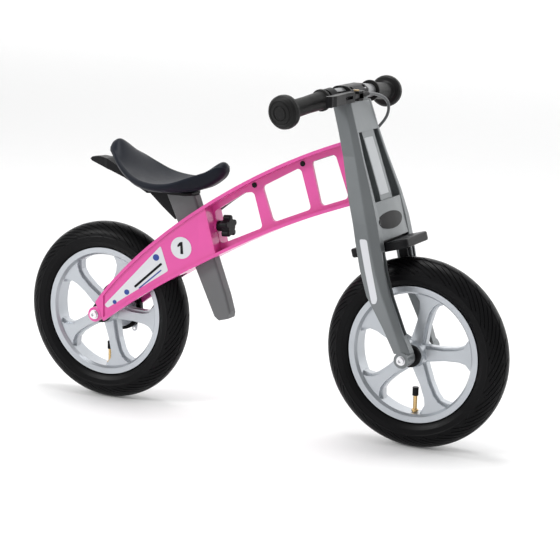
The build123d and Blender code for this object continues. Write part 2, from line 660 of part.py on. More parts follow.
def make_fork():
    """The fork, the handlebar and what is fixed to them."""
    save("fork", fork_moulding())
    save("fork_guard", fork_guard())
    save("bar_clamp", bar_clamp())
    save("bar_clamp_screws", group([clamp_screw(x, y) for x, y in clamp_screw_places()]))
    save("handlebar", handlebar())
    left = grip()
    save("grip_left", left)
    save("grip_right", mirror(left, about=Plane.XZ))
    pin = steer_rod(CROWN_LOW + 0.5, HEAD_HIGH + 27.0, PIN_R - 0.01)
    pin += steer_rod(CROWN_LOW + 0.5, CROWN_LOW + 6.9, 10.3)
    save("steering_pin", pin)
    save("steering_nut", steer_hex(HEAD_HIGH + 18.0, HEAD_HIGH + 26.0, 16.0))
    bolt = disc(FRONT_X, AXLE_Z, -65.0, 65.0, AXLE_R)
    bolt += disc(FRONT_X, AXLE_Z, -68.2, -64.2, 5.8) - hex_piece(FRONT_X, AXLE_Z, -69.0, -65.8, 5.0)
    save("front_axle_bolt", bolt)
    save("front_axle_washers", both_pieces(disc(FRONT_X, AXLE_Z, 63.0, 64.2, 7.4, AXLE_R + RUN_GAP)))
    nut = hex_piece(FRONT_X, AXLE_Z, 64.2, 69.0, 12.0) - disc(FRONT_X, AXLE_Z, 60.0, 70.0, AXLE_R)
    save("front_axle_nut", nut)
    save("front_axle_sleeves", both_pieces(disc(FRONT_X, AXLE_Z, 25.0, 36.0, 5.0, AXLE_R + RUN_GAP)))
    save("lever_perch", lever_perch())
    save("brake_lever", lever_blade())
    pin = rod((*PIVOT, 544.0), (*PIVOT, 560.0), 2.49)
    pin += rod((*PIVOT, 559.4), (*PIVOT, 561.0), 4.2)
    save("lever_pivot_pin", pin)
    barrel = rod((182.9, -11.9, 552.0), (183.4, -3.0, 552.2), 4.6) \
        + rod((183.4, -3.0, 552.2), (184.0, 5.8, 552.4), 3.4)
    save("barrel_adjuster", barrel)


def steer_hex(low, high, across_flats):
    """A nut on the steering axis."""
    plane = Plane(origin=steer_point(low), x_dir=steer_direction(),
                  z_dir=Vector(*steer_point(1.0)) - Vector(*steer_point(0.0)))
    face = RegularPolygon(across_flats / math.sqrt(3), 6) - Circle(PIN_R)
    return extrude(plane * face, amount=high - low)


# ---------------------------------------------------------------- saddle and seat post
# x, half width, rim height, centre height, underside height
SADDLE_ROWS = [
    (-279.0, 10.0, 436.0, 440.0, 431.0),
    (-264.0, 25.5, 433.0, 448.5, 413.5),
    (-246.0, 42.5, 422.0, 430.0, 400.0),
    (-225.0, 55.5, 407.5, 406.0, 387.5),
    (-200.0, 64.0, 394.5, 389.5, 375.5),
    (-170.0, 66.5, 388.0, 382.0, 370.5),
    (-140.0, 58.5, 389.0, 384.5, 371.0),
    (-110.0, 40.0, 400.0, 396.0, 375.0),
    (-88.0, 27.5, 411.0, 409.5, 383.5),
    (-71.0, 20.0, 420.0, 423.0, 395.0),
    (-63.0, 13.0, 418.0, 422.5, 402.0),
    (-59.0, 6.0, 414.0, 417.0, 409.0),
]


def saddle():
    """The soft saddle: a dished seat with a high back lobe and a raised nose."""
    faces = []
    for x, half, rim, centre, under in SADDLE_ROWS:
        mid = centre + (rim - centre) * 0.3
        side = under + (rim - under) * 0.45
        points = [(-half, rim - 2.0), (-half * 0.88, rim), (-half * 0.5, mid), (0.0, centre),
                  (half * 0.5, mid), (half * 0.88, rim), (half, rim - 2.0), (half * 0.93, side),
                  (half * 0.55, under), (-half * 0.55, under), (-half * 0.93, side)]
        plane = Plane(origin=(x, 0, 0), x_dir=(0, 1, 0), z_dir=(1, 0, 0))
        faces.append(plane * outline(points))
    return loft(faces, ruled=True)


def saddle_base():
    """The stiff base: a mounting plate, a tail blade and a fin down the back of the post."""
    spine = outline([(-322.0, 410.0), (-317.0, 413.8), (-300.0, 416.0), (-284.0, 414.0), (-268.0, 406.0),
                     (-246.0, 394.0), (-225.0, 382.5), (-202.0, 373.0), (-185.0, 370.2), (-118.0, 370.2),
                     (-118.0, 365.8), (-172.0, 365.8),
                     (-205.0, 362.3), (-213.0, 366.5), (-250.0, 385.0), (-277.0, 394.6),
                     (-318.0, 406.5)])
    body = side_prism(spine, -13.0, 13.0)
    body -= plan_prism(outline([(-330, 3.5), (-330, 20), (-262, 20), (-290, 11)]), 380.0, 440.0)
    body -= plan_prism(outline([(-330, -3.5), (-330, -20), (-262, -20), (-290, -11)]), 380.0, 440.0)
    plate = Pos(-160.0, 0) * RectangleRounded(84.0, 48.0, 14.0)
    body += plan_prism(plate, 366.0, 370.0)
    fin = outline([(-206.0, 363.0), (-181.0, 341.5), (-155.5, 321.5), (-150.5, 324.5),
                   (-169.9, 366.4)])
    body += side_prism(fin, -4.0, 4.0)
    body -= side_prism(post_side(0.05), -POST_HALF, POST_HALF)
    for x in SADDLE_SCREW_X:
        body -= rod((x, 0, 355.0), (x, 0, 380.0), 3.0)
        body -= rod((x, 0, 367.4), (x, 0, 380.0), 5.4)
    return body


SADDLE_SCREW_X = (-153.0, -128.0)


def seat_post():
    """The flat blade that carries the saddle, rounded front and back."""
    body = side_prism(post_side(0.0), -POST_HALF, POST_HALF)
    rounded = [edge for edge in body.edges() if abs(edge.center().Y) > POST_HALF - 0.1
               and edge.bounding_box().size.Z > 100.0]
    body = fillet(rounded, 4.0)
    for x in SADDLE_SCREW_X:
        body -= rod((x, 0, 338.0), (x, 0, 370.0), 3.0)
    return body


def saddle_screw(x):
    """One screw that holds the base to the post."""
    screw = rod((x, 0, 340.0), (x, 0, 367.4), 2.99)
    screw += rod((x, 0, 367.4), (x, 0, 370.0), 5.2)
    return screw


KNOB_BACK = 14.5
KNOB_REACH = 18.7


def clamp_knob():
    """The five-lobed star knob that locks the seat height."""
    lobes = Circle(13.0)
    for index in range(5):
        lobes += Rot(0, 0, index * 72.0 + 18.0) * Pos(KNOB_REACH - 5.2, 0) * Circle(5.2)
    plane = Plane(origin=Vector(*clamp_point(KNOB_BACK)), x_dir=(0, 1, 0),
                  z_dir=Vector(*clamp_point(1.0)) - Vector(*clamp_point(0.0)))
    body = extrude(plane * lobes, amount=13.0)
    body = fillet(body.faces().sort_by(Axis.X)[-1].edges(), 1.8)
    body += clamp_rod(3.2, KNOB_BACK, 9.0)
    body -= clamp_rod(-2.0, KNOB_BACK + 6.0, 4.0)
    return body


def make_seat():
    """The seat body and the clamp knob."""
    save("seat_post", seat_post())
    save("saddle_base", saddle_base())
    save("saddle", saddle())
    save("saddle_screws", group([saddle_screw(x) for x in SADDLE_SCREW_X]))
    save("clamp_knob", clamp_knob())
    save("clamp_screw", clamp_rod(-14.0, KNOB_BACK + 5.9, 3.99))
    save("clamp_pad", clamp_rod(-17.4, -14.1, 3.9))


# ---------------------------------------------------------------- rear drum brake
DRUM_R = 36.0
COVER_R = 42.0
CAM = (-257.0, 144.5)
ANCHOR = (-313.0, 160.5)
SHOE_Y = (28.0, 34.0)
ARM_Y = (39.0, 42.5)


def brake_drum():
    """The steel cup fixed to the left end of the rear hub."""
    cup = wheel_spin(outline([(12.0, 24.2), (DRUM_R, 24.2), (DRUM_R, 34.2), (DRUM_R - 2.6, 34.2),
                              (DRUM_R - 2.6, 26.6), (12.0, 26.6)]))
    return place_wheel(cup, REAR_X)


def brake_plate():
    """The black cover that carries the shoes, held by the frame's left arm."""
    plate = disc(REAR_X, AXLE_Z, 34.9, 38.4, COVER_R, 5.1)
    plate += disc(REAR_X, AXLE_Z, 31.0, 34.9, COVER_R, COVER_R - 3.0)
    plate += disc(*ANCHOR, 27.8, 34.9, 3.4)
    plate -= disc(*CAM, 20.0, 60.0, 4.0 + RUN_GAP)
    return plate


def brake_shoe(upper):
    """One curved shoe with its lining, from the anchor to the cam."""
    ring = disc(REAR_X, AXLE_Z, *SHOE_Y, 32.6, 26.5)
    sign = 1.0 if upper else -1.0
    tilt = math.degrees(math.atan2(CAM[1] - ANCHOR[1], CAM[0] - ANCHOR[0]))
    half = Pos(0, sign * 31.6) * Rectangle(90.0, 52.0)
    keep = side_prism(Pos(REAR_X, AXLE_Z) * Rot(0, 0, tilt) * half, *SHOE_Y)
    shoe = ring & keep
    return shoe - disc(*ANCHOR, 20.0, 40.0, 3.4 + RUN_GAP) - disc(*CAM, 20.0, 40.0, 6.6)


def brake_arm():
    """The arm outside the cover and the cam spindle that it turns."""
    spindle = disc(*CAM, 28.0, 42.5, 4.0)
    tip = (CAM[0] - 4.0, CAM[1] - 31.0)
    blade = Pos(*CAM) * Circle(7.0)
    blade += outline([(CAM[0] - 6.5, CAM[1]), (CAM[0] + 6.5, CAM[1]), (tip[0] + 5.0, tip[1]),
                      (tip[0] - 5.0, tip[1])])
    blade += Pos(*tip) * Circle(5.0)
    body = spindle + side_prism(blade, *ARM_Y)
    around = math.degrees(math.atan2(CAM[1] - AXLE_Z, CAM[0] - REAR_X))
    lobe = Pos(*CAM) * Rot(0, 0, around) * Rectangle(3.2, 11.0)
    body += side_prism(lobe, SHOE_Y[0], SHOE_Y[1])
    return body - disc(*tip, 30.0, 50.0, 2.0)


CABLE_R = 2.4
CABLE_ROUTE = [
    (184.2, 6.2, 552.6), (189.0, 32.0, 551.0), (197.0, 58.0, 538.0), (193.0, 68.0, 514.0),
    (177.0, 63.0, 492.0), (160.0, 51.0, 472.0), (136.0, 30.0, 457.0), (110.0, 13.0, 447.5),
    (78.2, 8.3, 434.5), (35.0, 9.4, 414.6), (-7.9, 8.3, 392.2), (-48.0, 14.0, 368.0),
    (-84.0, 29.0, 343.5), (-118.0, 32.4, 317.0), (-158.0, 37.2, 284.0), (-190.0, 42.0, 250.0),
    (-209.0, 45.4, 213.0), (-213.0, 47.5, 181.0), (-225.0, 46.5, 153.0), (-241.0, 45.0, 135.0),
]


def route_radii(route):
    """The largest round at each corner of a cord's route that its two runs allow."""
    radii = []
    for before, here, after in zip(route, route[1:], route[2:]):
        run_in = Vector(*here) - Vector(*before)
        run_out = Vector(*after) - Vector(*here)
        turn = math.radians(run_in.get_angle(run_out))
        radii.append(0.45 * min(run_in.length, run_out.length) / math.tan(turn / 2))
    return radii


def cable_path():
    """The cable's line: straight runs joined by tangent arcs."""
    return FilletPolyline(*CABLE_ROUTE, radius=route_radii(CABLE_ROUTE))


def cable_place(x):
    """The point and the direction of the cable where it passes a place along the bike."""
    path = cable_path()
    low, high = 0.2, 0.8
    for _ in range(40):
        middle = (low + high) / 2
        if (path @ middle).X > x:
            low = middle
        else:
            high = middle
    return path @ low, (path % low).normalized()


def brake_cable():
    """The cable's outer casing, from the lever to the stop above the brake arm."""
    print("cable radii", [round(radius) for radius in route_radii(CABLE_ROUTE)])
    path = cable_path()
    casing = sweep(Plane(origin=path @ 0, z_dir=path % 0) * Circle(CABLE_R), path=path)
    print("cable length", round(path.length, 1), "volume share",
          round(casing.volume / (math.pi * CABLE_R ** 2 * path.length), 4))
    return casing


def cable_clip(x):
    """A small plastic clip that holds the cable on the frame's left side."""
    here, step = cable_place(x)
    ring = rod(here - step * 5.0, here + step * 5.0, 5.0, CABLE_R + 0.15)
    wall = half_width(x) + 0.4
    trim = extrude(Plane.XZ.offset(-wall) * (Pos(here.X, here.Z) * Rectangle(40, 40)), amount=40.0)
    return ring - trim


def stud_clip(x, z):
    """A clip pushed through the web, with its ring on the left side."""
    here, step = cable_place(x)
    body = disc(x, z, -WEB_HALF - 1.6, 6.5, CLIP_HOLE_R - 0.05)
    body += disc(x, z, -WEB_HALF - 1.6, -WEB_HALF - 0.05, CLIP_HOLE_R + 1.2)
    body += disc(x, z, WEB_HALF + 0.05, WEB_HALF + 1.5, CLIP_HOLE_R + 1.6)
    body += rod(here - step * 4.0, here + step * 4.0, 4.4)
    return body - rod(here - step * 12.0, here + step * 12.0, CABLE_R + 0.15)


def make_brake():
    """The drum brake and its cable."""
    save("brake_drum", brake_drum())
    save("brake_cover", brake_plate())
    save("brake_shoe_upper", brake_shoe(True))
    save("brake_shoe_lower", brake_shoe(False))
    save("brake_arm", brake_arm())
    save("brake_cable", brake_cable())
    clips = [stud_clip(x, z) for x, z in CLIP_HOLES] + [cable_clip(x) for x in (-138.0, -198.0)]
    save("cable_clips", group(clips))
    end = Vector(*CABLE_ROUTE[-1])
    step = (end - Vector(*CABLE_ROUTE[-2])).normalized()
    stop = rod(end - step * 6.0, end + step * 6.0, 4.4) - rod(end - step * 8.0, end, CABLE_R + 0.02)
    stop -= rod(end - step, end + step * 8.0, 1.2)
    save("cable_stop", stop)


make_wheels()
make_frame()
make_fork()
make_seat()
make_brake()
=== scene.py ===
"""The looks of a balance bike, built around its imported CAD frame.

+X is forward, +Y is the rider's left and +Z is up, in metres.
"""
import json
import math

import bmesh
import bpy
from mathutils import Matrix, Vector
from mathutils.bvhtree import BVHTree


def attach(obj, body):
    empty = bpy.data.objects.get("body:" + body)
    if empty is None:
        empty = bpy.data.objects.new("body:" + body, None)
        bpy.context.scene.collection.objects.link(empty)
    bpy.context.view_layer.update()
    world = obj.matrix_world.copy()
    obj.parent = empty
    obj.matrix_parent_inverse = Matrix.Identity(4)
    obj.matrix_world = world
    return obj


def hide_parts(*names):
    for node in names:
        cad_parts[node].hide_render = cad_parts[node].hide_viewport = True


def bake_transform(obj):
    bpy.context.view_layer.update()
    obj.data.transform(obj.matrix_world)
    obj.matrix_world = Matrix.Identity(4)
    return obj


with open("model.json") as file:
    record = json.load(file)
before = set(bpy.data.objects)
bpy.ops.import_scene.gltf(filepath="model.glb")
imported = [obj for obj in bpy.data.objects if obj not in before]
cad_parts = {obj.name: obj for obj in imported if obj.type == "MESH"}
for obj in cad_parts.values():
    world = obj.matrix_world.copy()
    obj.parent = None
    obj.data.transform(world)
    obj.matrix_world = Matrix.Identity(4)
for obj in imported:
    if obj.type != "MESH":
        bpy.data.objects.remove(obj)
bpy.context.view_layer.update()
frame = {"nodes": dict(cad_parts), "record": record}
nodes = frame["nodes"]
MM = 0.001


# ---------------------------------------------------------------- camera, floor and light
CAMERA_PLACE = (1.35176, -2.55946, 0.85282)
CAMERA_TURN = (117.13, -12.02, 1.17)     # yaw, pitch and roll, in degrees
CAMERA_LENS = 116.46
FLOOR_REACH = 12.0
BACKDROP_Y = 8.0
BACKDROP_TOP = 9.0


def look_axes(yaw, pitch, roll):
    """The camera's right, up and forward directions."""
    forward = Vector((math.cos(pitch) * math.cos(yaw), math.cos(pitch) * math.sin(yaw), math.sin(pitch)))
    side = forward.cross(Vector((0, 0, 1))).normalized()
    above = side.cross(forward)
    right = side * math.cos(roll) + above * math.sin(roll)
    up = above * math.cos(roll) - side * math.sin(roll)
    return right, up, forward


def make_camera():
    """The camera, at the photograph's angle."""
    right, up, forward = look_axes(*(math.radians(angle) for angle in CAMERA_TURN))
    data = bpy.data.cameras.new("camera")
    data.sensor_width = 36.0
    data.lens = CAMERA_LENS
    data.clip_end = 60.0
    data.dof.use_dof = False
    camera = bpy.data.objects.new("camera", data)
    turn = Matrix((right, up, -forward)).transposed().to_4x4()
    camera.matrix_world = Matrix.Translation(CAMERA_PLACE) @ turn
    bpy.context.scene.collection.objects.link(camera)
    bpy.context.scene.camera = camera


def area_light(name, place, aim, size, power):
    """A soft square light that faces a point."""
    data = bpy.data.lights.new(name, "AREA")
    data.shape = "SQUARE"
    data.size = size
    data.energy = power
    lamp = bpy.data.objects.new(name, data)
    lamp.location = place
    lamp.rotation_euler = (Vector(aim) - Vector(place)).to_track_quat("-Z", "Y").to_euler()
    bpy.context.scene.collection.objects.link(lamp)


def stage_plane(name, corners, glow):
    """A white plane that isn't part of the bike, with its own glow."""
    mesh = bpy.data.meshes.new(name)
    mesh.from_pydata(corners, [], [(0, 1, 2, 3)])
    plane = bpy.data.objects.new(name, mesh)
    bpy.context.scene.collection.objects.link(plane)
    mesh.materials.append(sweep_material(name, glow))


def make_room():
    """The pale floor, the white surroundings and the studio lights."""
    bpy.context.scene.view_settings.view_transform = "Standard"
    world = bpy.data.worlds.new("room")
    bpy.context.scene.world = world
    world.use_nodes = True
    world.node_tree.nodes["Background"].inputs["Color"].default_value = (1, 1, 1, 1)
    world.node_tree.nodes["Background"].inputs["Strength"].default_value = 0.62
    reach = FLOOR_REACH
    corners = [(-reach, -reach, 0), (reach, -reach, 0), (reach, reach, 0), (-reach, reach, 0)]
    stage_plane("floor", corners, 0.05)
    low, high = (-0.1, BACKDROP_TOP)
    corners = [(-reach, BACKDROP_Y, low), (reach, BACKDROP_Y, low), (reach, BACKDROP_Y, high),
               (-reach, BACKDROP_Y, high)]
    stage_plane("backdrop", corners, 1.0)
    area_light("key_light", (-2.3, -2.5, 2.1), (0, 0, 0.25), 1.1, 64)
    area_light("top_light", (-0.1, 0.2, 2.6), (0, 0, 0.0), 1.2, 34)


# ---------------------------------------------------------------- materials
def new_material(name):
    """A plain material, its node tree and its shader."""
    material = bpy.data.materials.new(name)
    material.use_nodes = True
    tree = material.node_tree
    return material, tree, tree.nodes["Principled BSDF"]


def node(tree, kind, **values):
    """A new node with some of its inputs or settings set."""
    made = tree.nodes.new(kind)
    for key, value in values.items():
        if key in made.inputs:
            made.inputs[key].default_value = value
        else:
            setattr(made, key, value)
    return made


def noise(tree, scale, detail=4.0):
    """A noise texture on the object's own coordinates."""
    place = node(tree, "ShaderNodeTexCoord")
    grain = node(tree, "ShaderNodeTexNoise", Scale=scale, Detail=detail, Roughness=0.55)
    tree.links.new(place.outputs["Object"], grain.inputs["Vector"])
    return grain


def ramp(tree, source, low, high, low_colour, high_colour):
    """A colour ramp between two colours, fed by a texture."""
    made = node(tree, "ShaderNodeValToRGB")
    made.color_ramp.elements[0].position = low
    made.color_ramp.elements[0].color = (*low_colour, 1)
    made.color_ramp.elements[1].position = high
    made.color_ramp.elements[1].color = (*high_colour, 1)
    tree.links.new(source, made.inputs["Fac"])
    return made


CLOUD_SCALE = 14.0
GLOSS_SPREAD = 0.06


def moulded(name, colour, roughness, spread=0.06, grain=900.0, bump=0.05, metallic=0.0, coat=0.0,
            coat_roughness=0.1, specular=0.5):
    """A moulded, painted or plated surface: slow colour clouds, uneven gloss and fine grain."""
    material, tree, shader = new_material(name)
    clouds = noise(tree, CLOUD_SCALE)
    dark = [channel * (1 - spread) for channel in colour]
    light = [min(1.0, channel * (1 + spread)) for channel in colour]
    tint = ramp(tree, clouds.outputs["Fac"], 0.3, 0.7, dark, light)
    tree.links.new(tint.outputs["Color"], shader.inputs["Base Color"])
    gloss = node(tree, "ShaderNodeMapRange")
    gloss.inputs["To Min"].default_value = max(0.02, roughness - GLOSS_SPREAD)
    gloss.inputs["To Max"].default_value = min(1.0, roughness + GLOSS_SPREAD)
    tree.links.new(noise(tree, CLOUD_SCALE * 5).outputs["Fac"], gloss.inputs["Value"])
    tree.links.new(gloss.outputs["Result"], shader.inputs["Roughness"])
    relief = node(tree, "ShaderNodeBump", Strength=bump, Distance=0.0004)
    tree.links.new(noise(tree, grain, 2.0).outputs["Fac"], relief.inputs["Height"])
    tree.links.new(relief.outputs["Normal"], shader.inputs["Normal"])
    shader.inputs["Metallic"].default_value = metallic
    shader.inputs["Coat Weight"].default_value = coat
    shader.inputs["Coat Roughness"].default_value = coat_roughness
    shader.inputs["Specular IOR Level"].default_value = specular
    return material


def sweep_material(name, glow):
    """The white of a studio sweep that glows a little, as a lit table does."""
    material = moulded(name, (0.9, 0.9, 0.9), 0.75, spread=0.003, grain=40.0, bump=0.0, specular=0.1)
    shader = material.node_tree.nodes["Principled BSDF"]
    shader.inputs["Emission Color"].default_value = (1, 1, 1, 1)
    shader.inputs["Emission Strength"].default_value = glow
    return material


MATERIALS = {
    "frame_shell": moulded("pink_moulding", (0.66, 0.058, 0.31), 0.34, spread=0.035, grain=1500, bump=0.05,
                           coat=0.35, coat_roughness=0.22),
    "fork_shell": moulded("grey_moulding", (0.17, 0.182, 0.188), 0.36, spread=0.05, grain=2200, bump=0.10,
                          metallic=0.6),
    "wheel_shell": moulded("silver_moulding", (0.45, 0.475, 0.505), 0.3, spread=0.04, grain=2200, bump=0.06,
                           metallic=0.65),
    "post_plastic": moulded("post_moulding", (0.108, 0.109, 0.113), 0.5, spread=0.05, grain=1800, bump=0.14),
    "black_plastic": moulded("black_moulding", (0.006, 0.006, 0.007), 0.42, spread=0.1, grain=2000, bump=0.16,
                             specular=0.14),
    "bar_paint": moulded("grey_paint", (0.19, 0.195, 0.2), 0.35, spread=0.04, grain=1600, bump=0.04,
                         metallic=0.5),
    "grip_rubber": moulded("grip_rubber", (0.006, 0.006, 0.006), 0.5, spread=0.12, grain=1600, bump=0.22,
                           specular=0.2),
    "tyre_rubber": moulded("tyre_rubber", (0.004, 0.004, 0.0045), 0.36, spread=0.2, grain=1400, bump=0.2,
                           specular=0.09),
    "tube_rubber": moulded("tube_rubber", (0.012, 0.012, 0.012), 0.6, spread=0.1, grain=800, bump=0.15),
    "saddle_cover": moulded("saddle_skin", (0.009, 0.011, 0.017), 0.46, spread=0.10, grain=1700, bump=0.22,
                            specular=0.12),
    "steel": moulded("plated_steel", (0.72, 0.72, 0.74), 0.24, spread=0.05, grain=1200, bump=0.06,
                     metallic=1.0),
    "aluminium": moulded("turned_aluminium", (0.74, 0.74, 0.76), 0.3, spread=0.04, grain=1200, bump=0.08,
                         metallic=1.0),
    "brass": moulded("plain_brass", (0.62, 0.43, 0.20), 0.28, spread=0.08, grain=1200, bump=0.06,
                     metallic=1.0),
    "cable_casing": moulded("cable_casing", (0.10, 0.104, 0.11), 0.35, spread=0.06, grain=1600, bump=0.06),
}


def dress_nodes():
    """Give every CAD node the material of its slot."""
    slots = {entry["node"]: entry["material_slot"] for entry in frame["record"]["subparts"]}
    for name, piece in nodes.items():
        piece.data.materials.clear()
        piece.data.materials.append(MATERIALS[slots[name]])
        for face in piece.data.polygons:
            face.material_index = 0


# ---------------------------------------------------------------- mesh helpers
def add_piece(name, verts, faces, material, body, smooth=True):
    """A mesh piece that rides on a body."""
    mesh = bpy.data.meshes.new(name)
    mesh.from_pydata([tuple(v) for v in verts], [], faces)
    mesh.update()
    fix = bmesh.new()
    fix.from_mesh(mesh)
    bmesh.ops.recalc_face_normals(fix, faces=fix.faces)
    fix.to_mesh(mesh)
    fix.free()
    for face in mesh.polygons:
        face.use_smooth = smooth
    piece = bpy.data.objects.new(name, mesh)
    bpy.context.scene.collection.objects.link(piece)
    mesh.materials.append(material)
    if body:
        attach(piece, body)
    return piece


def smooth_closed(points, steps):
    """A smooth closed loop through points, as many samples to each side."""
    count = len(points)
    loop = []
    for i in range(count):
        a, b, c, d = (Vector(points[(i + k) % count]) for k in (-1, 0, 1, 2))
        for k in range(steps):
            t = k / steps
            loop.append(0.5 * (2 * b + (c - a) * t + (2 * a - 5 * b + 4 * c - d) * t * t
                               + (3 * b - a - 3 * c + d) * t * t * t))
    return loop


def between_rows(rows, x):
    """A row of numbers at a place along the bike, eased through its neighbours."""
    rows = sorted(rows)
    for i in range(len(rows) - 1):
        if x <= rows[i + 1][0] or i == len(rows) - 2:
            break
    b, c = rows[i], rows[i + 1]
    a = rows[max(i - 1, 0)]
    d = rows[min(i + 2, len(rows) - 1)]
    t = (x - b[0]) / (c[0] - b[0])
    values = []
    for k in range(1, len(b)):
        slope_b = (c[k] - a[k]) / max(c[0] - a[0], 1e-6) * (c[0] - b[0])
        slope_c = (d[k] - b[k]) / max(d[0] - b[0], 1e-6) * (c[0] - b[0])
        h00, h10 = 2 * t ** 3 - 3 * t ** 2 + 1, t ** 3 - 2 * t ** 2 + t
        h01, h11 = -2 * t ** 3 + 3 * t ** 2, t ** 3 - t ** 2
        values.append(h00 * b[k] + h10 * slope_b + h01 * c[k] + h11 * slope_c)
    return values


# ---------------------------------------------------------------- tyres
TYRE = {"middle": 127.5, "height": 25.0, "half": 27.0}
AXLE_HEIGHT = 152.5
AXLE_X = 0.285
PITCHES = 30                   # tread grooves on each shoulder
GROOVE_DEPTH = 1.9
GROOVE_SWEEP = math.radians(25.0)
SHOULDER = 70.0                # degrees round the section where the tread ends
TREAD_STEP = 2.6
TREAD_STEPS = 32
WALL_ANGLES = [84.5, 86.5, 88.5, 90.5, 95, 100, 104, 107, 109, 111, 114, 118, 122, 126, 129]
CENTRE_GROOVE_STEP = 8         # the tread step that a groove runs round the tyre at
CENTRE_GROOVE_DEPTH = 1.3
WALL_RIBS = {86.5: 0.5, 88.5: 0.5, 107: 0.35, 109: 0.35}
# degrees round the section and wall thickness of the tyre's inside
INNER_WALL = [(128.0, 4.4), (100.0, 4.2), (60.0, 4.4), (0.0, 4.8), (-60.0, 4.4), (-100.0, 4.2), (-128.0, 4.4)]
# place in the pitch, main groove, short groove
COLUMNS = [(0.000, 0, 0), (0.018, 1, 0), (0.090, 1, 0), (0.108, 0, 0), (0.220, 0, 0), (0.360, 0, 0),
           (0.500, 0, 0), (0.518, 0, 1), (0.572, 0, 1), (0.590, 0, 0), (0.720, 0, 0), (0.860, 0, 0)]


def fade(value, start, end):
    """0 before start, 1 after end, smooth between."""
    t = min(1.0, max(0.0, (value - start) / (end - start)))
    return t * t * (3 - 2 * t)


def tread_depth(side, main, short):
    """How deep the tread is cut at a place across it, in mm: side is 0 at the crown, 1 at the shoulder."""
    deep = main * fade(side, 0.07, 0.13) * (1 - fade(side, 1.0, 1.08))
    deep = max(deep, short * fade(side, 0.42, 0.48) * (1 - fade(side, 1.12, 1.2)))
    return deep * GROOVE_DEPTH


def tyre_ring(body, end, centre_x):
    """A street tyre with swept grooves cut in its tread, and a ribbed wall."""
    section = []
    for degrees in [i * TREAD_STEP for i in range(TREAD_STEPS)] + WALL_ANGLES:
        ring = WALL_RIBS.get(degrees, 0.0)
        if degrees == CENTRE_GROOVE_STEP * TREAD_STEP:
            ring = -CENTRE_GROOVE_DEPTH
        section.append((degrees, degrees / SHOULDER, ring))
    section = [(-d, s, r) for d, s, r in reversed(section[1:])] + section
    verts = []
    columns = PITCHES * len(COLUMNS)
    rows = len(section) + len(INNER_WALL)
    for pitch in range(PITCHES):
        for place, main, short in COLUMNS:
            base = (pitch + place) * 2 * math.pi / PITCHES
            for degrees, side, ring in section:
                cut = tread_depth(side, main, short)
                swept = base + GROOVE_SWEEP * min(side, 1.2) ** 1.15
                turn = math.radians(degrees)
                radius = TYRE["middle"] + (TYRE["height"] - cut + ring) * math.cos(turn)
                across = (TYRE["half"] - 0.55 - cut + ring) * math.sin(turn)
                verts.append((centre_x + radius * math.sin(swept) * MM, across * MM,
                              (AXLE_HEIGHT + radius * math.cos(swept)) * MM))
            for degrees, wall in INNER_WALL:
                turn = math.radians(degrees)
                radius = TYRE["middle"] + (TYRE["height"] - wall) * math.cos(turn)
                across = (TYRE["half"] - wall) * math.sin(turn)
                verts.append((centre_x + radius * math.sin(base) * MM, across * MM,
                              (AXLE_HEIGHT + radius * math.cos(base)) * MM))
    faces = []
    for i in range(columns):
        ahead = (i + 1) % columns
        for j in range(rows):
            up = (j + 1) % rows
            faces.append((i * rows + j, ahead * rows + j, ahead * rows + up, i * rows + up))
    piece = add_piece(end + "_tread_tyre", verts, faces, MATERIALS["tyre_rubber"], body)
    mark_sharp(piece, 28)
    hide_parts(end + "_tyre")


def mark_sharp(piece, degrees):
    """Shade a piece smooth, but keep its edges above an angle crisp."""
    piece.data.set_sharp_from_angle(angle=math.radians(degrees))


# ---------------------------------------------------------------- saddle
# x, half width, rim height, centre height, underside height
SADDLE_ROWS = [
    (-280.0, 7.5, 434.5, 439.0, 431.5),
    (-276.0, 15.0, 434.5, 444.0, 425.5),
    (-264.0, 27.0, 432.0, 447.5, 412.5),
    (-246.0, 43.5, 421.0, 430.0, 399.0),
    (-225.0, 56.0, 407.0, 406.0, 386.5),
    (-200.0, 64.5, 394.0, 389.5, 375.0),
    (-170.0, 67.0, 388.0, 382.0, 370.4),
    (-140.0, 59.0, 389.5, 384.5, 370.8),
    (-112.0, 41.5, 399.5, 395.5, 374.0),
    (-100.0, 34.5, 404.0, 402.5, 377.5),
    (-88.0, 28.5, 408.5, 411.5, 382.5),
    (-72.0, 21.0, 416.5, 423.5, 393.0),
    (-63.5, 14.5, 417.0, 423.5, 400.5),
    (-59.0, 6.5, 413.5, 417.0, 408.5),
]
SADDLE_STATIONS = 84


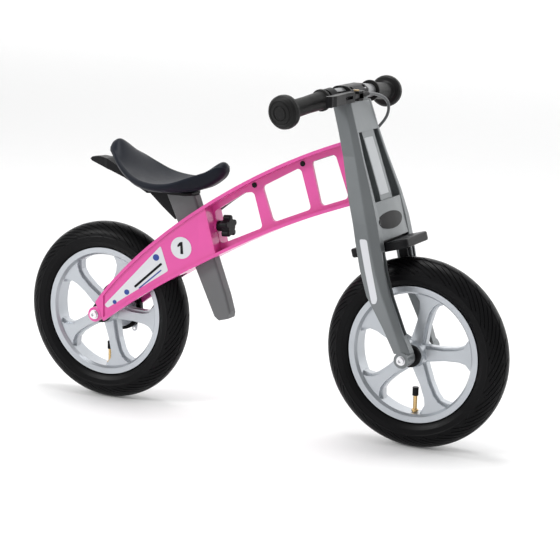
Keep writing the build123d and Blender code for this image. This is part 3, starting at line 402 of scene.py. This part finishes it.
def saddle_piece():
    """The soft saddle: a dished seat with a rolled rim, a high back lobe and a raised round nose."""
    low, high = SADDLE_ROWS[0][0], SADDLE_ROWS[-1][0]
    verts, rings = [], []
    for i in range(SADDLE_STATIONS + 1):
        share = i / SADDLE_STATIONS
        x = low + (high - low) * (0.5 - 0.5 * math.cos(math.pi * share)) * 0.35 + (high - low) * share * 0.65
        half, rim, centre, under = between_rows(SADDLE_ROWS, x)
        mid = centre + (rim - centre) * 0.28
        side = under + (rim - under) * 0.5
        points = [(0.0, centre), (half * 0.45, mid), (half * 0.80, rim - (rim - mid) * 0.22),
                  (half * 0.915, rim + 0.2), (half * 0.985, rim - 2.6), (half, rim - 6.5),
                  (half * 0.93, side - 1.5), (half * 0.76, under + (side - under) * 0.28),
                  (half * 0.45, under), (0.0, under)]
        points = points + [(-y, z) for y, z in reversed(points[1:-1])]
        loop = smooth_closed(points, 5)
        ring = []
        for y, z in loop:
            ring.append(len(verts))
            verts.append((x * MM, y * MM, z * MM))
        rings.append(ring)
    faces = []
    for a, b in zip(rings, rings[1:]):
        for j in range(len(a)):
            k = (j + 1) % len(a)
            faces.append((a[j], a[k], b[k], b[j]))
    for ring in (rings[0], rings[-1]):
        middle = sum((Vector(verts[index]) for index in ring), Vector()) / len(ring)
        verts.append(tuple(middle))
        for j in range(len(ring)):
            faces.append((ring[j], ring[(j + 1) % len(ring)], len(verts) - 1))
    piece = add_piece("saddle_cushion", verts, faces, MATERIALS["saddle_cover"], "seat")
    smoother = piece.modifiers.new("smooth", "SMOOTH")
    smoother.factor = 0.5
    smoother.iterations = 4
    apply_modifiers(piece)
    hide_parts("saddle")


def apply_modifiers(piece):
    """Make a piece's modifiers part of its mesh."""
    graph = bpy.context.evaluated_depsgraph_get()
    mesh = bpy.data.meshes.new_from_object(piece.evaluated_get(graph))
    piece.modifiers.clear()
    piece.data = mesh


# ---------------------------------------------------------------- brake cable
CABLE_RADIUS = 2.4
CABLE_ROUTE = [
    (184.2, 6.2, 552.6), (189.0, 32.0, 551.0), (197.0, 58.0, 538.0), (193.0, 68.0, 514.0),
    (177.0, 63.0, 492.0), (160.0, 51.0, 472.0), (136.0, 30.0, 457.0), (110.0, 13.0, 447.5),
    (78.2, 8.3, 434.5), (35.0, 9.4, 414.6), (-7.9, 8.3, 392.2), (-48.0, 14.0, 368.0),
    (-84.0, 29.0, 343.5), (-118.0, 32.4, 317.0), (-158.0, 37.2, 284.0), (-190.0, 42.0, 250.0),
    (-209.0, 45.4, 213.0), (-213.0, 47.5, 181.0), (-225.0, 46.5, 153.0), (-241.0, 45.0, 135.0),
]


def cable_piece():
    """The brake cable's casing, swept as one piece along its route."""
    curve = bpy.data.curves.new("cable_line", "CURVE")
    curve.dimensions = "3D"
    curve.bevel_depth = CABLE_RADIUS * MM
    curve.bevel_resolution = 5
    curve.resolution_u = 10
    curve.use_fill_caps = True
    line = curve.splines.new("NURBS")
    line.points.add(len(CABLE_ROUTE) - 1)
    for point, place in zip(line.points, CABLE_ROUTE):
        point.co = (*(value * MM for value in place), 1.0)
    line.order_u = 3
    line.use_endpoint_u = True
    holder = bpy.data.objects.new("cable_line", curve)
    bpy.context.scene.collection.objects.link(holder)
    graph = bpy.context.evaluated_depsgraph_get()
    mesh = bpy.data.meshes.new_from_object(holder.evaluated_get(graph))
    bpy.data.objects.remove(holder)
    piece = bpy.data.objects.new("cable_casing", mesh)
    bpy.context.scene.collection.objects.link(piece)
    mesh.materials.clear()
    mesh.materials.append(MATERIALS["cable_casing"])
    for face in mesh.polygons:
        face.use_smooth = True
    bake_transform(piece)
    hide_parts("brake_cable")


# ---------------------------------------------------------------- stickers
def node_tree_of(name):
    """A search tree over a CAD node's surface."""
    data = nodes[name].data
    verts = [vertex.co.copy() for vertex in data.vertices]
    return BVHTree.FromPolygons(verts, [tuple(face.vertices) for face in data.polygons])


def rounded(points, radius, steps=6):
    """A closed outline with its corners rounded."""
    result = []
    count = len(points)
    for i in range(count):
        here = Vector(points[i])
        a = (Vector(points[i - 1]) - here)
        b = (Vector(points[(i + 1) % count]) - here)
        cut = min(radius, a.length * 0.45, b.length * 0.45)
        start, end = here + a.normalized() * cut, here + b.normalized() * cut
        for k in range(steps + 1):
            t = k / steps
            result.append((1 - t) ** 2 * start + 2 * t * (1 - t) * here + t * t * end)
    return result


def oval(centre, wide, tall, turn=0.0, count=40):
    """The outline of an oval."""
    cos, sin = math.cos(turn), math.sin(turn)
    outline = []
    for i in range(count):
        a = 2 * math.pi * i / count
        u, v = wide * math.cos(a), tall * math.sin(a)
        outline.append(Vector((centre[0] + u * cos - v * sin, centre[1] + u * sin + v * cos)))
    return outline


def sticker(name, outline, axis, sign, tree, material, body, lift=0.25, cell=5.0):
    """A thin label laid on a CAD surface.

    The outline is in mm: x and z for a side label (axis 1), y and z for a front label (axis 0).
    """
    flat = bmesh.new()
    corners = [flat.verts.new((p[0], p[1], 0)) for p in outline]
    flat.faces.new(corners)
    low = Vector((min(p[0] for p in outline), min(p[1] for p in outline)))
    high = Vector((max(p[0] for p in outline), max(p[1] for p in outline)))
    for k, normal in ((0, (1, 0, 0)), (1, (0, 1, 0))):
        place = low[k] + cell
        while place < high[k] - 0.5:
            at = (place, 0, 0) if k == 0 else (0, place, 0)
            bmesh.ops.bisect_plane(flat, geom=flat.verts[:] + flat.edges[:] + flat.faces[:], plane_co=at,
                                   plane_no=normal)
            place += cell
    bmesh.ops.triangulate(flat, faces=[f for f in flat.faces if len(f.verts) > 4])
    flat.verts.ensure_lookup_table()
    flat.verts.index_update()
    down = Vector((0, 0, 0))
    down[axis] = -sign
    top, bottom = [], []
    for vertex in flat.verts:
        u, v = vertex.co.x * MM, vertex.co.y * MM
        start = Vector((u, sign * 0.3, v)) if axis == 1 else Vector((sign * 0.4, u, v))
        hit = tree.ray_cast(start, down)[0]
        if hit is None:
            raise RuntimeError(f"{name} misses its surface at {u:.4f}, {v:.4f}")
        top.append(hit - down * lift * MM)
        bottom.append(hit - down * 0.03 * MM)
    count = len(top)
    faces = [tuple(v.index for v in f.verts) for f in flat.faces]
    faces += [tuple(v.index + count for v in reversed(f.verts)) for f in flat.faces]
    for edge in flat.edges:
        if edge.is_boundary:
            a, b = edge.verts[0].index, edge.verts[1].index
            faces.append((a, b, b + count, a + count))
    flat.free()
    add_piece(name, top + bottom, faces, material, body, smooth=False)


NUMBER_ONE = [(-2.0, 9.6), (2.4, 10.4), (4.2, -10.2), (-1.0, -10.2), (-1.4, 3.4), (-6.4, 0.6), (-6.6, 4.6)]


def put_stickers():
    """Plain labels where the real bike has its labels, with a generic number and no lettering."""
    frame_tree = node_tree_of("frame")
    fork_tree = node_tree_of("fork")
    white = moulded("label_white", (0.62, 0.63, 0.66), 0.38, spread=0.02, grain=1500, bump=0.02)
    silver = moulded("label_silver", (0.42, 0.435, 0.45), 0.42, spread=0.05, grain=1200, bump=0.05,
                     metallic=0.3)
    ink = moulded("label_ink", (0.008, 0.008, 0.009), 0.45, spread=0.05, grain=1500, bump=0.02, specular=0.15)
    blue = moulded("label_blue", (0.012, 0.045, 0.26), 0.4, spread=0.05, grain=1500, bump=0.02)
    panel = rounded([(-267.0, 170.5), (-166.1, 280.1), (-152.4, 239.1), (-261.0, 166.0)], 3.0)
    for side, word in ((-1, "right"), (1, "left")):
        sticker(f"tail_label_{word}", panel, 1, side, frame_tree, white, "frame")
        dots = ((-248.0, 177.5, 3.6), (-226.0, 196.5, 4.6), (-174.0, 260.0, 5.6))
        for i, (x, z, r) in enumerate(dots):
            sticker(f"tail_dot_{word}_{i + 1}", oval((x, z), r, r), 1, side, frame_tree, blue, "frame",
                    lift=0.4)
        stripes = (((-212.0, 206.5), (-164.0, 250.5), 2.0), ((-204.0, 205.0), (-164.5, 239.5), 1.1))
        for i, (a, b, wide) in enumerate(stripes):
            along = (Vector(b) - Vector(a)).normalized()
            across = Vector((-along.y, along.x)) * wide
            shape = [Vector(a) - across, Vector(b) - across, Vector(b) + across, Vector(a) + across]
            sticker(f"tail_stripe_{word}_{i + 1}", rounded(shape, wide * 0.9, 4), 1, side, frame_tree,
                    ink if i == 0 else blue, "frame", lift=0.4)
        disc_at = (-129.5, 279.9)
        sticker(f"number_disc_{word}", oval(disc_at, 18.3, 18.3, count=64), 1, side, frame_tree, white,
                "frame")
        one = [(disc_at[0] - side * x * 0.98, disc_at[1] + z) for x, z in NUMBER_ONE]
        sticker(f"number_one_{word}", rounded(one, 0.8, 3), 1, side, frame_tree, ink, "frame",
                lift=0.42)
    for side, word in ((-1, "right"), (1, "left")):
        strip = rounded([(213.4, 338.0), (226.0, 338.0), (247.0, 247.5), (244.5, 239.5), (237.5, 238.5)], 4.0)
        sticker(f"blade_label_{word}", strip, 1, side, fork_tree, white, "fork")
    rib = rounded([(-19.0, 486.0), (12.0, 486.0), (12.5, 400.0), (-19.5, 400.0)], 2.0)
    sticker("rib_label", rib, 0, 1, fork_tree, silver, "fork")
    sticker("crown_badge", oval((-10.0, 361.5), 42.0, 13.0), 0, 1, fork_tree, ink, "fork",
            lift=0.9)


make_camera()
make_room()
dress_nodes()
tyre_ring("front_wheel", "front", AXLE_X)
tyre_ring("rear_wheel", "rear", -AXLE_X)
saddle_piece()
cable_piece()
put_stickers()
